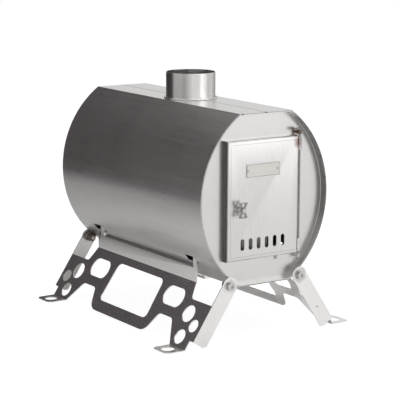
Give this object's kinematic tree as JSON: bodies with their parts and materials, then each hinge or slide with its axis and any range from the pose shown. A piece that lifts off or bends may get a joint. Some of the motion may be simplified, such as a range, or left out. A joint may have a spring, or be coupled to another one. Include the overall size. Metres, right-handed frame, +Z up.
{
  "type": "tent wood stove",
  "caption": "Folding-leg stainless tent stove: flat-topped barrel, latched fire door with air slots, flue collar on top.",
  "frame": {"origin": "on the floor, below the middle of the whole stove's box", "axes": "+Z up, the fire door faces -Y, the barrel lies along Y"},
  "size_m": [0.3514, 0.4472, 0.3973],
  "materials": {
    "barrel_steel": "brushed stainless sheet, grain along the barrel",
    "bright_steel": "bright satin stainless sheet",
    "leg_steel": "satin stainless sheet, laser cut",
    "fastener_steel": "plain turned stainless",
    "scorched_steel": "heat-darkened stainless"
  },
  "bodies": {
    "stove_body": {"barrel_shell": "barrel_steel", "flue_collar": "bright_steel", "flue_collar_ring": "barrel_steel", "front_end_plate": "bright_steel", "hinge_lug_lower": "bright_steel", "hinge_lug_upper": "bright_steel", "hinge_pin": "fastener_steel", "pivot_bolt_left_front": "fastener_steel", "pivot_bolt_left_rear": "fastener_steel", "pivot_bolt_right_front": "fastener_steel", "pivot_bolt_right_rear": "fastener_steel", "pivot_bracket_left_front": "scorched_steel", "pivot_bracket_left_rear": "scorched_steel", "pivot_bracket_right_front": "scorched_steel", "pivot_bracket_right_rear": "scorched_steel", "pivot_nut_left_front": "scorched_steel", "pivot_nut_left_rear": "scorched_steel", "pivot_nut_right_front": "scorched_steel", "pivot_nut_right_rear": "scorched_steel", "pivot_spacer_left_front": "fastener_steel", "pivot_spacer_left_rear": "fastener_steel", "pivot_washer_left_front": "fastener_steel", "pivot_washer_left_rear": "fastener_steel", "pivot_washer_right_front": "fastener_steel", "pivot_washer_right_rear": "fastener_steel", "rear_end_plate": "bright_steel", "seam_strip_front": "barrel_steel", "seam_strip_rear": "barrel_steel"},
    "door": {"door_knuckle_lower": "bright_steel", "door_knuckle_upper": "bright_steel", "door_panel": "bright_steel", "heat_shield": "scorched_steel", "name_plate": "bright_steel", "name_plate_rivet_1": "fastener_steel", "name_plate_rivet_2": "fastener_steel", "slide_guide_lower_left": "barrel_steel", "slide_guide_lower_right": "barrel_steel", "slide_guide_upper": "barrel_steel"},
    "latch": {"latch_cam": "scorched_steel", "latch_nut": "scorched_steel", "latch_spacer": "fastener_steel", "latch_spindle": "fastener_steel", "latch_washer": "fastener_steel", "latch_wing": "fastener_steel"},
    "air_slide": {"air_slide": "barrel_steel"},
    "left_leg": {"left_leg_frame": "leg_steel"},
    "right_leg": {"right_leg_frame": "leg_steel"}
  },
  "joints": [
    {"name": "door_swing", "type": "hinge", "parent": "stove_body", "child": "door", "pos_m": [0.06685, -0.2063, 0.2212], "axis": [0, 0, 1], "range_deg": [0, 120]},
    {"name": "latch_turn", "type": "hinge", "parent": "door", "child": "latch", "pos_m": [-0.0486, -0.20985, 0.2092], "axis": [0, -1, 0], "range_deg": [0, 90]},
    {"name": "air_slide_travel", "type": "slide", "parent": "door", "child": "air_slide", "axis": [1, 0, 0], "range_m": [0, 0.0076]},
    {"name": "left_leg_fold", "type": "hinge", "parent": "stove_body", "child": "left_leg", "pos_m": [-0.067, 0.00215, 0.0929], "axis": [0, -1, 0], "range_deg": [0, 115]},
    {"name": "right_leg_fold", "type": "hinge", "parent": "stove_body", "child": "right_leg", "pos_m": [0.067, 0.00215, 0.0929], "axis": [0, 1, 0], "range_deg": [0, 123.5]}
  ]
}
